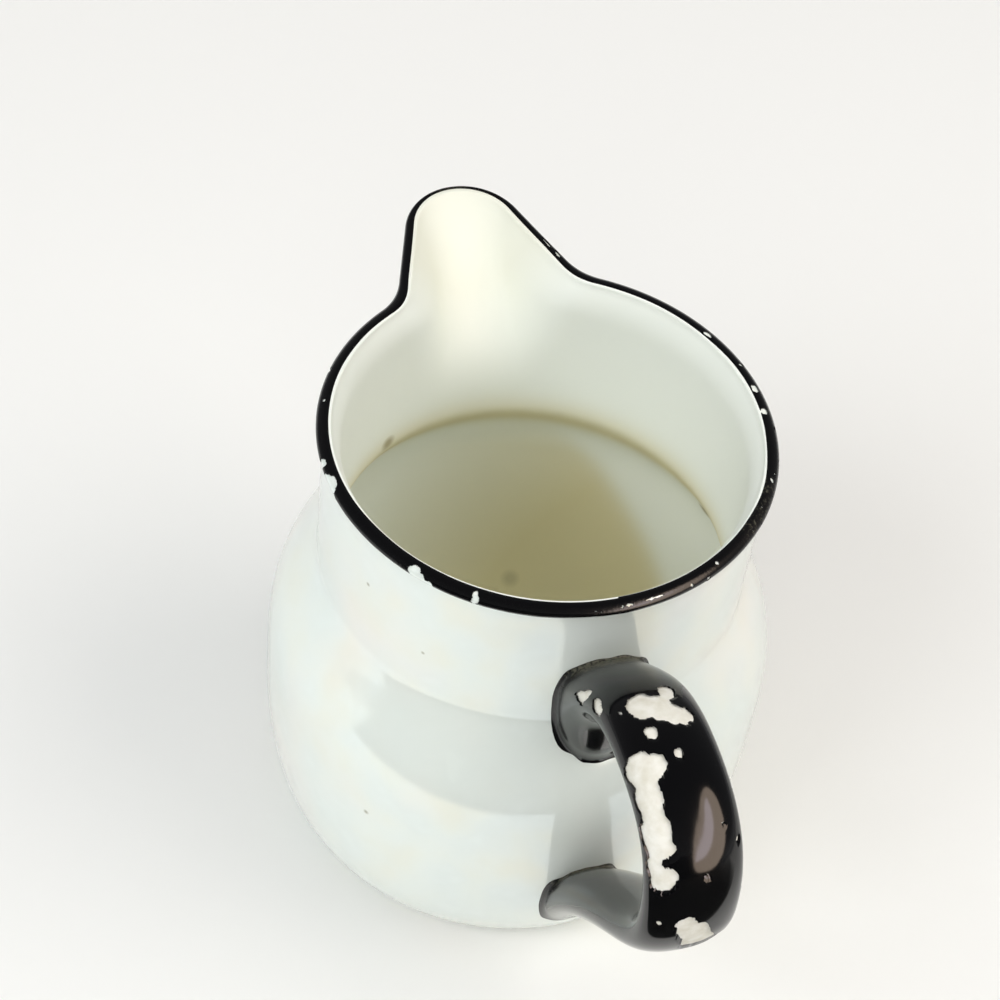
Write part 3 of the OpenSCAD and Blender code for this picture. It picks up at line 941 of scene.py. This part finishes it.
lens = bpy.data.cameras.new("camera")
lens.sensor_width = 36.0
lens.lens = lens.sensor_width * focal_pixels / frame_pixels
lens.clip_start, lens.clip_end = 0.01, 20.0
camera = bpy.data.objects.new("camera", lens)
camera.matrix_world = Matrix.Translation(view_from) @ Matrix((right, up, -forward)).transposed().to_4x4()
bpy.context.scene.collection.objects.link(camera)
bpy.context.scene.camera = camera
print("camera lens %.1f mm" % lens.lens)

# %% The dark cloth round the front of the table
cloth_turns = np.radians([-57, -53, -30, -15, 0, 15, 30, 48, 68])
cloth_clear, cloth_lift = 0.084, 0.0005
cloth_near = cloth_clear / np.cos(cloth_turns)
cloth_far, cloth_height = 1.5, 0.6
cloth_way = math.pi + view_heading + cloth_turns
cloth_rows = [(cloth_near, cloth_lift), (cloth_far, cloth_lift), (cloth_far, cloth_height)]
cloth = stage_sheet("dark_cloth", [
    np.stack([far * np.cos(cloth_way), far * np.sin(cloth_way), 0 * cloth_way + height], -1)
    for far, height in cloth_rows], plain_surface("dark cloth", "#2E302E", 0.9, "cover"))
fading_ends = np.ones((len(cloth_rows), len(cloth_turns)), np.float32)
fading_ends[:, [0, -1]] = 0
cloth.data.attributes.new("cover", "FLOAT", "POINT").data.foreach_set("value", fading_ends.reshape(-1))
cloth.visible_camera = False
cloth.visible_diffuse = False
cloth.visible_shadow = False

# %% The lamps
jug_middle = Vector((0, 0, 0.045))


def soft_lamp(name, heading, height, distance, size, turn, watts, colour):
    """An oval lamp at a heading and height in degrees, turned to the middle of the jug."""
    data = bpy.data.lights.new(name, "AREA")
    data.shape = "ELLIPSE"
    data.size, data.size_y = size
    data.energy = watts
    data.color = linear(colour)[:3]
    lamp = bpy.data.objects.new(name, data)
    a, e = math.radians(heading), math.radians(height)
    way = Vector((math.cos(e) * math.cos(a), math.cos(e) * math.sin(a), math.sin(e)))
    lamp.location = jug_middle + distance * way
    lamp.rotation_mode = "QUATERNION"
    lamp.rotation_quaternion = way.to_track_quat("Z", "Y") @ Quaternion((0, 0, 1), math.radians(turn))
    bpy.context.scene.collection.objects.link(lamp)
    return lamp


dome = soft_lamp("dome", 120, 88, 1.6, (3.2, 3.2), 0, 19.4, "#FFFFFF")
front = soft_lamp("front", 152, 40, 1.6, (1.0, 1.0), 0, 3.4, "#FFFDF8")
key = soft_lamp("key", 108, 40, 1.4, (0.8, 0.8), 0, 7.2, "#F8FCFF")
side = soft_lamp("side", -116, 47, 1.4, (1.2, 1.2), 0, 8.4, "#FFF8F0")
for lamp in (dome, front, key, side):
    lamp.visible_glossy = False
gleam = soft_lamp("gleam", -144, 32, 0.75, (0.42, 1.15), -35, 4.6, "#FFE6CF")
gleam_core = soft_lamp("gleam_core", -150, 36, 0.74, (0.13, 0.8), -35, 0.8, "#EFE8FF")
for lamp in (gleam, gleam_core):
    lamp.visible_diffuse = False

# %% The room
room = bpy.data.worlds.new("room")
room.use_nodes = True
room.node_tree.nodes.clear()
way_up = add_node(room.node_tree, "ShaderNodeSeparateXYZ", {
    "Vector": add_node(room.node_tree, "ShaderNodeTexCoord").outputs["Generated"]})
wall_to_ceiling = add_node(room.node_tree, "ShaderNodeValToRGB", {"Fac": way_up.outputs["Z"]})
steps = wall_to_ceiling.color_ramp
steps.elements[0].position, steps.elements[0].color = 0.0, (0.5, 0.5, 0.5, 1)
steps.elements[1].position, steps.elements[1].color = 1.0, (0.06, 0.06, 0.06, 1)
steps.elements.new(0.2).color = (0.16, 0.16, 0.16, 1)
sky = add_node(room.node_tree, "ShaderNodeBackground", {
    "Color": wall_to_ceiling.outputs["Color"], "Strength": 1.0})
add_node(room.node_tree, "ShaderNodeOutputWorld", {"Surface": sky.outputs["Background"]})
bpy.context.scene.world = room
bpy.context.scene.view_settings.view_transform = "Standard"
